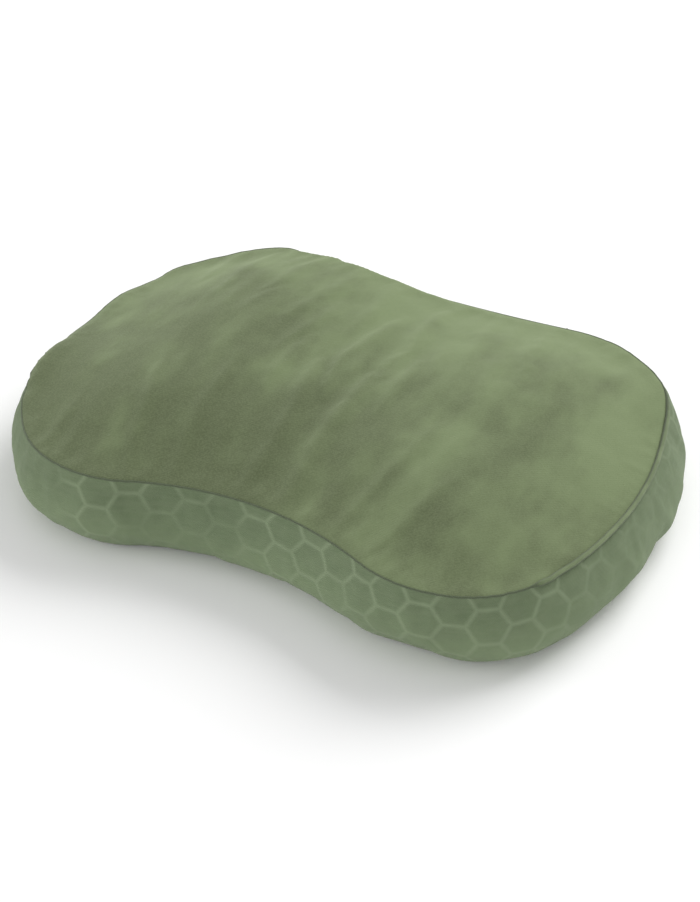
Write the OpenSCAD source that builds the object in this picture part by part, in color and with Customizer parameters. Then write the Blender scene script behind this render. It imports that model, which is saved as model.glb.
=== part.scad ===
// Boxed hourglass camp pillow: a zipped outer cover around an inner bag of loose foam.
// The length runs along X, the zip is in the back wall at +Y, and the base rests on z = 0.

/* [Plan shape] */
// Overall length of the cover
cover_l = 420; // [400:1:440]
// Overall width across the lobes
cover_w = 284; // [276:1:296]
// Distance from the middle line to the front waist
waist_front = 120; // [112:1:126]
// Distance from the middle line to the back waist
waist_back = 137; // [134:0.5:138]
// Radius of the two front lobe corners
corner_r_front = 90; // [86:1:96]
// Radius of the two back lobe corners
corner_r_back = 100; // [94:1:102]
// Radius of the two ends
end_r = 225; // [205:1:260]

/* [Height and fullness] */
// Height of the top seam along the long sides
seam_h = 56; // [54:1:64]
// How much lower the top seam sits at the two ends
end_drop = 6; // [0:0.5:10]
// Height of the crown above the top seam
crown_h = 30; // [20:1:38]
// Share of the crown that is missing over the waist
waist_sag = 0.22; // [0:0.01:0.4]
// How far the base edge is tucked in under the wall
base_inset = 14; // [10:0.5:18]
// How far the top seam is pulled in on the long sides
seam_inset = 7; // [4:0.5:10]
// How much further the top seam is pulled in at the ends
end_inset = 8; // [0:0.5:12]
// How far the back wall is drawn in along the zip
zip_recess = 3.2; // [2.5:0.1:4]

/* [Fabrics] */
// Thickness of the padded cover fabric
cover_t = 0.8; // [0.6:0.1:0.8]
// Thickness of the inner bag fabric
bag_t = 0.4; // [0.2:0.05:0.5]
// Radius of the welt that stands up along the two long seams
welt_r = 1.0; // [0.7:0.1:1.1]

/* [Zip] */
// Height of the zip's middle line
zip_z = 27; // [26.5:0.1:28]
// Length of the slot in the back wall, along its curve
slot_l = 168; // [120:1:170]
// Width of the slot between the two fabric edges
slot_w = 10; // [9.6:0.1:12]
// Width across the closed coil
chain_w = 4.4; // [4:0.1:4.8]
// Thickness of the coil
chain_t = 1.8; // [1.4:0.1:1.8]
// Outer half width of the tape pair
tape_reach = 11; // [9:0.5:11]
// Half of the gap between the two tapes
tape_gap = 1.4; // [1.3:0.1:1.8]
// Thickness of the woven tape
tape_t = 0.5; // [0.3:0.05:0.5]

/* [Slider] */
// Length of the slider body along the chain
slider_l = 10; // [9:0.5:10]
// Width of the slider across the chain
slider_w = 8; // [7.8:0.1:8.4]
// Thickness of each slider plate
plate_t = 1.0; // [0.8:0.1:1]
// Length of the pull tab from its pin
pull_l = 24; // [18:1:28]
// Width of the pull tab
pull_w = 5.2; // [5:0.1:6.4]
// Diameter of the pull's pin
pin_d = 1.0; // [0.8:0.1:1]

/* [Hidden] */
$fn = 64;

// Steps along the waist, corner and end arcs of one quarter of the outline
waist_steps = 6;
corner_steps = 12;
end_steps = 6;
quarter = waist_steps + corner_steps + end_steps;
around = 4 * quarter;

// Layers, as distances in from the outer face of the cover
bag_in = 3.2;
fill_in = bag_in + bag_t + 0.4;
base_t = 0.8;
bag_base_z = 1.2;
seam_gap = 0.6;

// The wall is upright between these shares of its height, and curves in past them
foot_share = 0.28;
shoulder_share = 0.7;
wall_rows = [0.025, 0.07, 0.12, 0.18, 0.28, 0.5, 0.7, 0.8, 0.9, 0.975];
bag_rows = [0, 0.06, 0.13, 0.28, 0.7, 0.85, 1];
crown_rows = [0.013, 0.06, 0.13, 0.24, 0.4, 0.58, 0.76, 0.92];
bag_crown_rows = [0.013, 0.1, 0.24, 0.42, 0.66, 0.92];
fill_crown_rows = [0.05, 0.12, 0.24, 0.42, 0.66, 0.92];
crown_power = 2.2;
sag_reach = 70;
tuck_power = 2.2;

// Centres of the arcs that make one quarter of the outline
half_w = cover_w / 2;
end_x = cover_l / 2 - end_r;
spine_x = cover_l / 2 - half_w;

// Each long side is its waist's distance from the middle line and its corners' radius
front = [waist_front, corner_r_front];
back = [waist_back, corner_r_back];

// The back waist arc carries the zip, and the slider turns about its centre
back_r = waist_r(back);
back_cy = waist_back + back_r;
back_reach = back_r * waist_angle(back) * PI / 180;
back_end_x = back_r * sin(waist_angle(back));
recess_fade = 12;
side_seam_w = 1.6;
side_seam_room = 2.5;
strip_reach = back_reach - side_seam_room;

// Positions along the chain, as arc lengths from the middle of the back wall
stop_l = 2.4;
top_stop_s = slot_l / 2 - 1.2 - stop_l / 2;
bottom_stop_s = -top_stop_s;
slider_s = top_stop_s - stop_l / 2 - slider_l / 2 - 1.2;
coil_start_s = bottom_stop_s + stop_l / 2 + 0.3;
post_x = slider_l / 2 - 1.2;
post_l = 1.6;
coil_end_s = slider_s + post_x - post_l / 2 - 0.4;

// Depths at the zip, outwards from the outer face of the cover
tape_face = -cover_t - 0.1;
coil_face = tape_face + 0.05 + chain_t;
slip = 0.3;
outer_plate_y = coil_face + slip;
inner_plate_y = tape_face - tape_t - slip;
pin_y = outer_plate_y + plate_t + pin_d / 2 + 0.25;
bridge_roof_y = pin_y + pin_d / 2 + 0.25;
bridge_t = 0.6;
bridge_w = 1.8;
bridge_l = 6.4;
arm_gap = 0.4;
arm_w = 0.8;
stitch_l = 2.6;
stitch_pitch = 3.4;
stitch_z = slot_w / 2 + 1.5;
label_l = 16;

// ---- Outline ----
// A point on the outline is [x, y, nx, ny], with its outward normal

function corner_y(side) = half_w - side[1];

function corner_x(side) = end_x + sqrt(pow(end_r - side[1], 2) - pow(corner_y(side), 2));

function waist_r(side) =
    (pow(corner_x(side), 2) + pow(side[0] - corner_y(side), 2) - pow(side[1], 2))
    / (2 * (half_w - side[0]));

function waist_angle(side) = asin(corner_x(side) / (waist_r(side) + side[1]));

// Where the corner arc meets the end arc, as an angle at the end's centre
function end_angle(side) = asin(corner_y(side) / (end_r - side[1]));

function arc_angle(s) = s / back_r * 180 / PI;

function on_arc(cx, cy, r, a) = [cx + r * cos(a), cy + r * sin(a), cos(a), sin(a)];

// The waist arc is hollow, so its normal points at its centre
function on_waist(side, a) =
    let (r = waist_r(side))
    [r * sin(a), side[0] + r - r * cos(a), -sin(a), cos(a)];

// Point number i of one quarter, from the waist to the end
function quarter_point(side, i) =
    let (a = waist_angle(side))
    i <= waist_steps ? on_waist(side, a * i / waist_steps)
    : i <= waist_steps + corner_steps
      ? let (f = (i - waist_steps) / corner_steps)
        on_arc(corner_x(side), corner_y(side), side[1], (90 + a) * (1 - f) + end_angle(side) * f)
      : let (f = (i - waist_steps - corner_steps) / end_steps)
        on_arc(end_x, 0, end_r, end_angle(side) * (1 - f));

function mirrored(p, mx, my) = [mx * p[0], my * p[1], mx * p[2], my * p[3]];

// Point number i of the whole outline, anticlockwise from the right end
function outline_point(i) =
    let (turn = floor((i % around) / quarter), m = i % quarter)
    turn == 0 ? mirrored(quarter_point(back, quarter - m), 1, 1)
    : turn == 1 ? mirrored(quarter_point(back, m), -1, 1)
    : turn == 2 ? mirrored(quarter_point(front, quarter - m), -1, -1)
    : mirrored(quarter_point(front, m), 1, -1);

outline = [for (i = [0:around - 1]) outline_point(i)];

// ---- Cover surface ----

// 0 on the long sides and 1 at the tips of the two ends
function end_share(p) = pow(max(0, (abs(p[2]) - 0.3) / 0.7), 2);

function seam_z(p) = seam_h - end_drop * end_share(p);

function seam_in(p) = seam_inset + end_inset * end_share(p);

// 1 along the back waist, fading out round the two back corners
function recess_share(p) =
    p[1] < 0 ? 0 : max(0, 1 - max(0, abs(p[0]) - back_end_x) / recess_fade);

function wall_in(p, t) =
    base_inset * pow(max(0, 1 - t / foot_share), tuck_power)
    + seam_in(p) * pow(max(0, (t - shoulder_share) / (1 - shoulder_share)), 2)
    + zip_recess * recess_share(p)
      * max(0, min(1, t / foot_share, (1 - t) / (1 - shoulder_share)));

function inward(p, k, z) = [p[0] - k * p[2], p[1] - k * p[3], z];

// Wall point at share t of the height, in a layer that lies depth in from the outer face
function wall_point(p, t, depth) =
    inward(p, wall_in(p, t) + depth, 0.6 * depth + t * (seam_z(p) - 1.7 * depth));

// The cover's own wall keeps its height, so that its two faces stay level
function cover_wall_point(p, t, depth) = inward(p, wall_in(p, t) + depth, t * seam_z(p));

function crown_at(x) = crown_h * (1 - waist_sag * exp(-pow(x / sag_reach, 2)));

// Crown point at share u of the way from the top seam to the middle line
function crown_point(p, u, depth, drop) =
    let (edge = inward(p, seam_in(p) + depth, 0),
         sx = max(-spine_x, min(spine_x, p[0])),
         x = edge[0] * (1 - u) + sx * u,
         y = edge[1] * (1 - u),
         rise = crown_at(x) * (1 - pow(1 - u, crown_power)))
    [x, y, seam_z(p) * (1 - u) + seam_h * u + rise - drop];

// ---- Meshes ----

// Faces of a pile of rings, closed at both ends by strips across the middle line
function pile_faces(rings, n) =
    concat(
        [for (j = [0:rings - 2], i = [0:n - 1])
            let (a = j * n + i, b = j * n + (i + 1) % n)
            each [[a, a + n, b + n], [a, b + n, b]]],
        [for (i = [0:n / 2 - 2]) [i, i + 1, n - i - 1]],
        [for (i = [1:n / 2 - 1]) [i, n - i - 1, n - i]],
        [for (i = [0:n / 2 - 2]) let (o = (rings - 1) * n) [o + i, o + n - i - 1, o + i + 1]],
        [for (i = [1:n / 2 - 1]) let (o = (rings - 1) * n) [o + i, o + n - i, o + n - i - 1]]);

module pile(rings)
    polyhedron(points = [for (r = rings) each r], faces = pile_faces(len(rings), around));

// Faces of a closed section that is swept through a row of stations
function sweep_faces(stations, n, closed) =
    [for (s = [0:stations - (closed ? 1 : 2)], k = [0:n - 1])
        let (next = (s + 1) % stations, up = (k + 1) % n)
        each [[s * n + k, s * n + up, next * n + up],
              [s * n + k, next * n + up, next * n + k]]];

// End faces of an open sweep whose section has an outer row and an inner row
function sweep_ends(stations, n) =
    [for (k = [0:n / 2 - 2])
        let (o = (stations - 1) * n, inner = n - 1 - k)
        each [[inner, inner - 1, k + 1],
              [inner, k + 1, k],
              [o + inner, o + k + 1, o + inner - 1],
              [o + inner, o + k, o + k + 1]]];

module sweep(sections, closed)
    polyhedron(
        points = [for (s = sections) each s],
        faces = concat(sweep_faces(len(sections), len(sections[0]), closed),
                       closed ? [] : sweep_ends(len(sections), len(sections[0]))));

// A round bead that follows the whole outline
module welt(k_extra, z_share, r, sides)
    sweep([for (p = outline)
            let (k = z_share > 0 ? seam_in(p) + k_extra : base_inset + k_extra,
                 z = z_share > 0 ? seam_z(p) : r + 0.3)
            [for (q = [0:sides - 1])
                let (a = 360 * q / sides - 90)
                inward(p, k - r * cos(a), z + r * sin(a))]], true);

// ---- Pieces that follow the back waist arc ----

// Sector of a ring about the centre of the back waist arc, between two arc lengths.
// Its section is drawn as [outward distance, height], from a face sunk in from the outline.
module back_sector(s0, s1, sunk)
    translate([0, back_cy, 0])
        rotate([0, 0, arc_angle(s0) - 90])
            rotate_extrude(angle = arc_angle(s1 - s0), $fn = 720)
                mirror([1, 0])
                    translate([-back_r - sunk, 0])
                        children();

// Section of the back wall between two shares of its height and two depths
module wall_section(t0, t1, depth0, depth1) {
    rows = 10;
    middle = outline[quarter];
    shares = [for (j = [0:rows]) t0 + (t1 - t0) * j / rows];
    polygon(concat(
        [for (t = shares) [-wall_in(middle, t) - depth0, t * seam_h]],
        [for (j = [rows:-1:0]) [-wall_in(middle, shares[j]) - depth1, shares[j] * seam_h]]));
}

// Straight pieces on the chain: x along it, y outwards and z up from the zip's middle line
module on_chain(s)
    translate([0, back_cy, 0])
        rotate([0, 0, arc_angle(s)])
            translate([0, -back_r - zip_recess, zip_z])
                children();

module block(x0, x1, y0, y1, z0, z1)
    translate([x0, y0, z0])
        cube([x1 - x0, y1 - y0, z1 - z0]);

module back_wall(t0, t1)
    difference() {
        back_sector(-strip_reach, strip_reach, 0)
            wall_section(t0, t1, 0, cover_t);
        back_sector(-slot_l / 2, slot_l / 2, zip_recess)
            translate([-cover_t - 1, zip_z - slot_w / 2])
                square([cover_t + 2, slot_w]);
    }

// The upright seam where the front wall meets the two strips of the back wall
module side_seam(side) {
    middle = side * (strip_reach + side_seam_room / 2);
    back_sector(middle - side_seam_w / 2, middle + side_seam_w / 2, 0)
        wall_section(0.07, 0.96, -0.5, cover_t);
}

module tape(side)
    back_sector(-slot_l / 2 - 3, slot_l / 2 + 3, zip_recess)
        translate([tape_face - tape_t, zip_z + (side > 0 ? tape_gap : -tape_reach)])
            square([tape_t, tape_reach - tape_gap]);

module coil(side)
    back_sector(coil_start_s, coil_end_s, zip_recess)
        translate([coil_face - chain_t, zip_z + (side > 0 ? 0.1 : -chain_w / 2)])
            square([chain_t, chain_w / 2 - 0.1]);

module top_stop(side)
    on_chain(top_stop_s)
        block(-stop_l / 2, stop_l / 2, coil_face - chain_t, coil_face,
              side > 0 ? tape_gap + 0.1 : -tape_gap - 1.2,
              side > 0 ? tape_gap + 1.2 : -tape_gap - 0.1);

// One row of separate stitches beside the slot
module stitching(side) {
    count = floor(slot_l / stitch_pitch);
    for (i = [0:count - 1]) {
        s = (i - (count - 1) / 2) * stitch_pitch;
        back_sector(s - stitch_l / 2, s + stitch_l / 2, zip_recess)
            translate([0.05, zip_z + side * stitch_z - 0.2])
                square([0.3, 0.4]);
    }
}

// Slider plate outline with cut corners, wider at the shoulder than at the tail
module plate(y0, y1, w) {
    cut = 1.4;
    tail = 0.7;
    h = slider_l / 2;
    translate([0, y1, 0])
        rotate([90, 0, 0])
            linear_extrude(y1 - y0)
                polygon([[-h, -w / 2 + cut + tail], [-h + cut, -w / 2 + tail],
                         [h - 2 * cut, -w / 2], [h - cut, -w / 2], [h, -w / 2 + cut],
                         [h, w / 2 - cut], [h - cut, w / 2], [h - 2 * cut, w / 2],
                         [-h + cut, w / 2 - tail], [-h, w / 2 - cut - tail]]);
}

// ---- Sub-parts ----

module foam_fill()
    color([0.86, 0.84, 0.74])
        pile(concat(
            [for (t = bag_rows) [for (p = outline) wall_point(p, t, fill_in)]],
            [for (u = fill_crown_rows) [for (p = outline) crown_point(p, u, fill_in, 0.95 * fill_in)]]));

module inner_bag_top()
    color([0.80, 0.82, 0.80])
        pile(concat(
            [for (j = [len(bag_crown_rows) - 1:-1:0])
                [for (p = outline)
                    crown_point(p, bag_crown_rows[j], bag_in, 0.95 * bag_in + bag_t)]],
            [for (u = bag_crown_rows) [for (p = outline) crown_point(p, u, bag_in, 0.95 * bag_in)]]));

module inner_bag_band()
    color([0.78, 0.80, 0.78])
        sweep([for (p = outline)
                concat([for (t = bag_rows) wall_point(p, t, bag_in)],
                       [for (j = [len(bag_rows) - 1:-1:0])
                           let (q = wall_point(p, bag_rows[j], bag_in))
                           inward([q[0], q[1], p[2], p[3]], bag_t, q[2])])], true);

module inner_bag_base()
    color([0.76, 0.78, 0.76])
        translate([0, 0, bag_base_z])
            linear_extrude(bag_t)
                polygon([for (p = outline)
                    let (q = inward(p, base_inset + bag_in + 0.2, 0)) [q[0], q[1]]]);

module top_panel()
    color([0.40, 0.45, 0.31])
        pile(concat(
            [for (j = [len(crown_rows) - 1:-1:0])
                [for (p = outline) crown_point(p, crown_rows[j], 0, cover_t)]],
            [for (u = crown_rows) [for (p = outline) crown_point(p, u, 0, 0)]]));

// The front and end wall runs from one side seam round the front to the other
module front_wall()
    color([0.36, 0.42, 0.28])
        sweep([for (i = [quarter + waist_steps:around + quarter - waist_steps])
                let (p = outline[i % around])
                concat([for (t = wall_rows) cover_wall_point(p, t, 0)],
                       [for (j = [len(wall_rows) - 1:-1:0])
                           cover_wall_point(p, wall_rows[j], cover_t)])], false);

module back_wall_upper()
    color([0.35, 0.41, 0.27])
        back_wall((zip_z + 0.1) / seam_h, 0.975);

module back_wall_lower()
    color([0.33, 0.39, 0.26])
        back_wall(0.025, (zip_z - 0.1) / seam_h);

module base_panel()
    color([0.26, 0.28, 0.24])
        linear_extrude(base_t)
            polygon([for (p = outline)
                let (q = inward(p, base_inset + seam_gap, 0)) [q[0], q[1]]]);

module top_seam_welt()
    color([0.31, 0.36, 0.24])
        welt(0.2, 1, welt_r, 6);

module base_seam_welt()
    color([0.28, 0.32, 0.22])
        welt(-seam_gap, 0, 0.9 * welt_r, 6);

module side_seam_left()
    color([0.31, 0.36, 0.24])
        side_seam(-1);

module side_seam_right()
    color([0.31, 0.36, 0.24])
        side_seam(1);

module zip_tape_upper()
    color([0.24, 0.27, 0.20])
        tape(1);

module zip_tape_lower()
    color([0.24, 0.27, 0.20])
        tape(-1);

module zip_coil_upper()
    color([0.18, 0.20, 0.16])
        coil(1);

module zip_coil_lower()
    color([0.18, 0.20, 0.16])
        coil(-1);

module zip_top_stop_upper()
    color([0.15, 0.16, 0.14])
        top_stop(1);

module zip_top_stop_lower()
    color([0.15, 0.16, 0.14])
        top_stop(-1);

// The bottom stop clips across both coils and holds the two tapes together
module zip_bottom_stop()
    color([0.15, 0.16, 0.14])
        on_chain(bottom_stop_s)
            block(-stop_l / 2, stop_l / 2, coil_face - chain_t, coil_face,
                  -tape_gap - 1.2, tape_gap + 1.2);

module zip_stitching_upper()
    color([0.45, 0.50, 0.36])
        stitching(1);

module zip_stitching_lower()
    color([0.45, 0.50, 0.36])
        stitching(-1);

// Two plates joined by a post between the coils, with flanges and a bridge for the pull
module zip_slider()
    color([0.20, 0.22, 0.18])
        on_chain(slider_s) {
            flange_in = chain_w / 2 + 0.35;
            flange_out = slider_w / 2 - 0.7;
            reach = slider_l / 2 - 1.2;
            plate(outer_plate_y, outer_plate_y + plate_t, slider_w);
            plate(inner_plate_y - plate_t, inner_plate_y, slider_w - 0.8);
            for (side = [-1, 1])
                block(-reach, reach, tape_face + slip, outer_plate_y + 0.2,
                      side > 0 ? flange_in : -flange_out, side > 0 ? flange_out : -flange_in);
            block(post_x - post_l / 2, post_x + post_l / 2,
                  inner_plate_y - 0.3, outer_plate_y + 0.3, -1, 1);
            difference() {
                block(-bridge_l / 2, bridge_l / 2, outer_plate_y + 0.5, bridge_roof_y + bridge_t,
                      -bridge_w / 2, bridge_w / 2);
                block(-1.6, 1.6, outer_plate_y + plate_t, bridge_roof_y, -bridge_w, bridge_w);
            }
        }

// A pin under the bridge, two arms and a flat tab that lies back along the chain
module zip_pull()
    color([0.22, 0.24, 0.20])
        on_chain(slider_s)
            translate([0, pin_y, 0]) {
                arm_in = bridge_w / 2 + arm_gap;
                tab_x = bridge_l / 2 + 0.9;
                nose = 1.6;
                translate([0, 0, -arm_in - arm_w])
                    cylinder(h = 2 * (arm_in + arm_w), d = pin_d);
                for (side = [-1, 1])
                    block(-tab_x - 0.5, 0, -pin_d / 2, pin_d / 2,
                          side > 0 ? arm_in : -arm_in - arm_w,
                          side > 0 ? arm_in + arm_w : -arm_in);
                translate([0, pin_d / 2, 0])
                    rotate([90, 0, 0])
                        linear_extrude(pin_d)
                            polygon([[-tab_x, -pull_w / 2 + 0.4], [-tab_x, pull_w / 2 - 0.4],
                                     [-tab_x - 2, pull_w / 2], [-pull_l + nose, pull_w / 2],
                                     [-pull_l, pull_w / 2 - nose], [-pull_l, -pull_w / 2 + nose],
                                     [-pull_l + nose, -pull_w / 2], [-tab_x - 2, -pull_w / 2]]);
            }

// A blank care label caught in the left side seam, lying on the upper back wall
module care_label()
    color([0.90, 0.90, 0.88])
        back_sector(-strip_reach, label_l - strip_reach, 0)
            wall_section(0.68, 0.9, -0.7, -0.4);

foam_fill();
inner_bag_top();
inner_bag_band();
inner_bag_base();
top_panel();
front_wall();
back_wall_upper();
back_wall_lower();
base_panel();
top_seam_welt();
base_seam_welt();
side_seam_left();
side_seam_right();
zip_tape_upper();
zip_tape_lower();
zip_coil_upper();
zip_coil_lower();
zip_top_stop_upper();
zip_top_stop_lower();
zip_bottom_stop();
zip_stitching_upper();
zip_stitching_lower();
zip_slider();
zip_pull();
care_label();
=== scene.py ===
"""Camp pillow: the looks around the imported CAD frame.

Everything is in metres, in the frame of the CAD: X along the length, Y towards the back wall with the
zip, Z up from the resting surface.
"""
import math

import bpy
import numpy as np
from mathutils import Matrix, Vector, noise
from mathutils.bvhtree import BVHTree
from mathutils.geometry import delaunay_2d_cdt


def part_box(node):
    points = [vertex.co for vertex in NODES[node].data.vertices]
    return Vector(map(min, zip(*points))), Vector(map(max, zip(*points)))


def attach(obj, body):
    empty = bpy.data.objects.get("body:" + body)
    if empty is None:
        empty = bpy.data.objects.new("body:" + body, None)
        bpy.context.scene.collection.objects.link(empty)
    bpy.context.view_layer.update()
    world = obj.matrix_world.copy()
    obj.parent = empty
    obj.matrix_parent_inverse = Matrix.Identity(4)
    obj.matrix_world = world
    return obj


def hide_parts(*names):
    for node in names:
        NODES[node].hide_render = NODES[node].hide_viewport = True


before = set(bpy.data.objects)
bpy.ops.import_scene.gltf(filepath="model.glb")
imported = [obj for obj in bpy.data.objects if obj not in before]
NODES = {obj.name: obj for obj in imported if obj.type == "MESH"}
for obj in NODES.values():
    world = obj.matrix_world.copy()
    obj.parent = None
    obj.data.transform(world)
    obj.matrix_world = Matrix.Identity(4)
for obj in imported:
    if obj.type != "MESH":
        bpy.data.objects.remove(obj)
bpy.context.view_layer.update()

# ---------------------------------------------------------------- sizes

MM = 0.001

# The plan outline's driving dimensions, as in the design
WAIST_FRONT = 120 * MM
WAIST_BACK = 137 * MM
CORNER_R_FRONT = 90 * MM
CORNER_R_BACK = 100 * MM
END_R = 225 * MM
HALF_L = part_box("front_wall")[1].x
HALF_W = -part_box("front_wall")[0].y

# The wall's section
BASE_INSET = 14 * MM
SEAM_INSET = 7 * MM
END_INSET = 8 * MM
END_DROP = 6 * MM
ZIP_RECESS = 3.2 * MM
RECESS_FADE = 12 * MM
HOLD_FADE = 30 * MM
FOOT_SHARE = 0.28
FOOT_POWER = 2.2
SHOULDER_SHARE = 0.7
# The same section where the wall is stuffed: shares of its height below and above its fullest part
SOFT_FOOT = 0.42
SOFT_HEAD = 0.58
BULGE = 1.5 * MM
WELT_R = 1 * MM
SEAM_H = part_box("top_seam_welt")[1].z - WELT_R
COVER_T = 0.8 * MM
BAG_T = 0.4 * MM
BAG_IN = 3.2 * MM
FILL_IN = 4.1 * MM
# Foam crumbs: sizes of their steps and of their waves, their depth, and how far in their middle lies
CRUMB_STEP = 9 * MM
CRUMB_WAVE = 6 * MM
CRUMB_DEPTH = 0.4 * MM
CRUMB_IN = 0.9 * MM

# The zip
ZIP_Z = (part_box("zip_coil_upper")[1].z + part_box("zip_coil_lower")[0].z) / 2
SLOT_REACH = 84 * MM
SLOT_HALF_W = 5 * MM
SIDE_SEAM_ROOM = 2.5 * MM

# The mesh: spacing of its points, and heights of the wall's rows in mm
STEP = 3.6 * MM
TOP_STEP = 3.9 * MM
BASE_STEP = 7.2 * MM
ROW_HEIGHTS = [1.2, 3, 5.5, 9, 13, 17.5, 22, 27, 32, 36.5, 41, 45.5, 49.5, 53, 56]
# Rounds of smoothing over the crown, and across the seam between what moves the top and the wall
CROWN_ROUNDS = 60
SEAM_ROUNDS = 4
# How a panel's edge rolls over into its seam
ROLL_R = 1.1 * MM
ROLL_STEPS = 3
# The base's height before the filling's lumps, and the lowest heights of base, inner bag and filling
BASE_Z = 0.3 * MM
BASE_LOW = 0.25 * MM
BAG_LOW = 2 * MM
FILL_LOW = 3 * MM

# The bead in the top seam: sunk and thin, and standing up as a ridge from the front corner round
# the right end, between these directions in degrees
BEAD_SUNK = 0.5 * MM
BEAD_R = 0.6 * MM
RIDGE_PROUD = 1.0 * MM
RIDGE_R = 1.6 * MM
RIDGE_RISE = (-38, -34)
RIDGE_FALL = (20, 45)
BASE_BEAD_SUNK = 0.9 * MM
BASE_BEAD_LIFT = 0.3 * MM
BASE_BEAD_R = 0.6 * MM
SIDE_BEAD_SUNK = 0.5 * MM
SIDE_BEAD_R = 1.15 * MM

# The label: its length, thickness and height over the fabric, how far its free end curls up and its
# middle waves, and how far it starts in from the strip's end
LABEL_L = 16 * MM
LABEL_T = 0.2 * MM
LABEL_LIFT = 0.45 * MM
LABEL_CURL = 0.7 * MM
LABEL_WAVE = 0.15 * MM
LABEL_CAUGHT = 0.4 * MM

# The cloth simulation, and how much of its swelling and its folds is kept
CLOTH_FRAMES = 22
CLOTH = {"quality": 5, "mass": 0.12, "tension_stiffness": 12, "compression_stiffness": 12,
         "shear_stiffness": 6, "bending_stiffness": 0.25, "air_damping": 2,
         "vertex_group_mass": "hold", "pin_stiffness": 1, "use_pressure": True,
         "uniform_pressure_force": 3, "shrink_min": -0.035}
CLOTH_GRAVITY = 0.4
SEAM_HOLD = 0.9
SWELL_SMOOTHING = 40
SWELL_CAP = 4 * MM
SWELL_SHARE_TOP = 0.5
SWELL_SHARE_WALL = 0.1
FOLD_CAP = 3 * MM
FOLD_SHARE_TOP = 0.8
FOLD_SHARE_WALL = 0.45

# Swellings and hollows: centre x, y, reach and push, in mm, and which part they move: the top panel
# alone, the cover more towards its top seam, or the cover more towards its foot
SWELLINGS = [
    (-205, -50, 42, (-5, 0, 10), "top"),
    (-205, -68, 42, (-7, 0, 3), "high"),
    (-200, 30, 30, (-2, 2, 4), "high"),
    (-150, 118, 28, (0, -2, -3), "high"),
    (-205, -75, 45, (6, 0, 0), "low"),
    (-85, 128, 48, (0, 2, 5), "high"),
    (-40, 120, 38, (0, 0, 5), "high"),
    (180, 100, 30, (2, 1, 2), "high"),
    (118, -142, 34, (0, 7, 0), "low"),
    (205, -50, 55, (-3, 1.5, 0), "low"),
    (214, 6, 15, (-4, 0, 0), "low"),
]
# The filling's lumps: size across and depth, in mm
LUMPS = [(44, 1.2), (20, 0.75), (10, 0.25)]


def smooth_step(x, low=0.0, high=1.0):
    x = np.clip((x - low) / (high - low), 0, 1)
    return x * x * (3 - 2 * x)


# ---------------------------------------------------------------- outline

END_X = HALF_L - END_R


class Side:
    """One long side of the outline: a hollow waist arc, a corner arc and an end arc."""

    def __init__(self, waist, corner_r):
        self.waist, self.corner_r = waist, corner_r
        self.corner_y = HALF_W - corner_r
        self.corner_x = END_X + math.sqrt((END_R - corner_r)**2 - self.corner_y**2)
        self.radius = (self.corner_x**2 + (waist - self.corner_y)**2 - corner_r**2) / (
            2 * (HALF_W - waist))
        self.angle = math.asin(self.corner_x / (self.radius + corner_r))
        self.end_angle = math.asin(self.corner_y / (END_R - corner_r))
        self.reach = self.radius * self.angle

    def quarter(self, breaks):
        """Rows of x, y, nx, ny and arc length, from the middle of the waist to the tip of the end.
        breaks are arc lengths on the waist that have to be points of the outline."""
        rows = []
        stops = [0] + list(breaks) + [self.reach]
        for low, high in zip(stops, stops[1:]):
            steps = max(1, round((high - low) / STEP))
            for k in range(steps):
                s = low + (high - low) * k / steps
                a = s / self.radius
                rows.append((self.radius * math.sin(a),
                             self.waist + self.radius * (1 - math.cos(a)),
                             -math.sin(a), math.cos(a), s))
        length = self.reach
        arcs = [(self.corner_x, self.corner_y, self.corner_r, math.pi / 2 + self.angle, self.end_angle),
                (END_X, 0, END_R, self.end_angle, 0)]
        for cx, cy, r, start, end in arcs:
            arc = r * (start - end)
            steps = round(arc / STEP)
            for k in range(steps):
                a = start + (end - start) * k / steps
                rows.append((cx + r * math.cos(a), cy + r * math.sin(a), math.cos(a), math.sin(a),
                             length + arc * k / steps))
            length += arc
        rows.append((HALF_L, 0, 1, 0, length))
        return np.array(rows)


BACK = Side(WAIST_BACK, CORNER_R_BACK)
FRONT = Side(WAIST_FRONT, CORNER_R_FRONT)
BACK_CENTRE_Y = WAIST_BACK + BACK.radius
CHAIN_R = BACK.radius + ZIP_RECESS
STRIP_REACH = BACK.reach - SIDE_SEAM_ROOM


def whole_outline():
    """The closed outline, anticlockwise from the middle of the back waist, with its arc length."""
    back = BACK.quarter([SLOT_REACH, STRIP_REACH])
    front = FRONT.quarter([])
    half = back[-1, 4] + front[-1, 4]
    left = back * [-1, 1, -1, 1, 1]
    front_left = (front * [-1, -1, -1, -1, -1])[::-1] + [0, 0, 0, 0, half]
    front_right = front * [1, -1, 1, -1, 1] + [0, 0, 0, 0, half]
    right = (back * [1, 1, 1, 1, -1])[::-1] + [0, 0, 0, 0, 2 * half]
    return np.vstack([left[:-1], front_left[:-1], front_right[:-1], right[:-1]])


OUTLINE = whole_outline()
COLUMNS = len(OUTLINE)
XY = OUTLINE[:, :2]
NORMAL = OUTLINE[:, 2:4]
ARC = OUTLINE[:, 4]
ARC_TOTAL = ARC[-1] + ARC[1]
BACK_S = np.where(ARC > ARC_TOTAL / 2, ARC_TOTAL - ARC, -ARC)
END_SHARE = np.maximum(0, (np.abs(NORMAL[:, 0]) - 0.3) / 0.7)**2
SEAM_Z = SEAM_H - END_DROP * END_SHARE
SEAM_IN = SEAM_INSET + END_INSET * END_SHARE
# 1 along the zip, where the cover keeps to the CAD, and 0 well away from it
HOLD = 1 - smooth_step(np.abs(BACK_S), BACK.reach, BACK.reach + HOLD_FADE)
RECESS = 1 - smooth_step(np.abs(BACK_S), BACK.reach, BACK.reach + RECESS_FADE)
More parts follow.
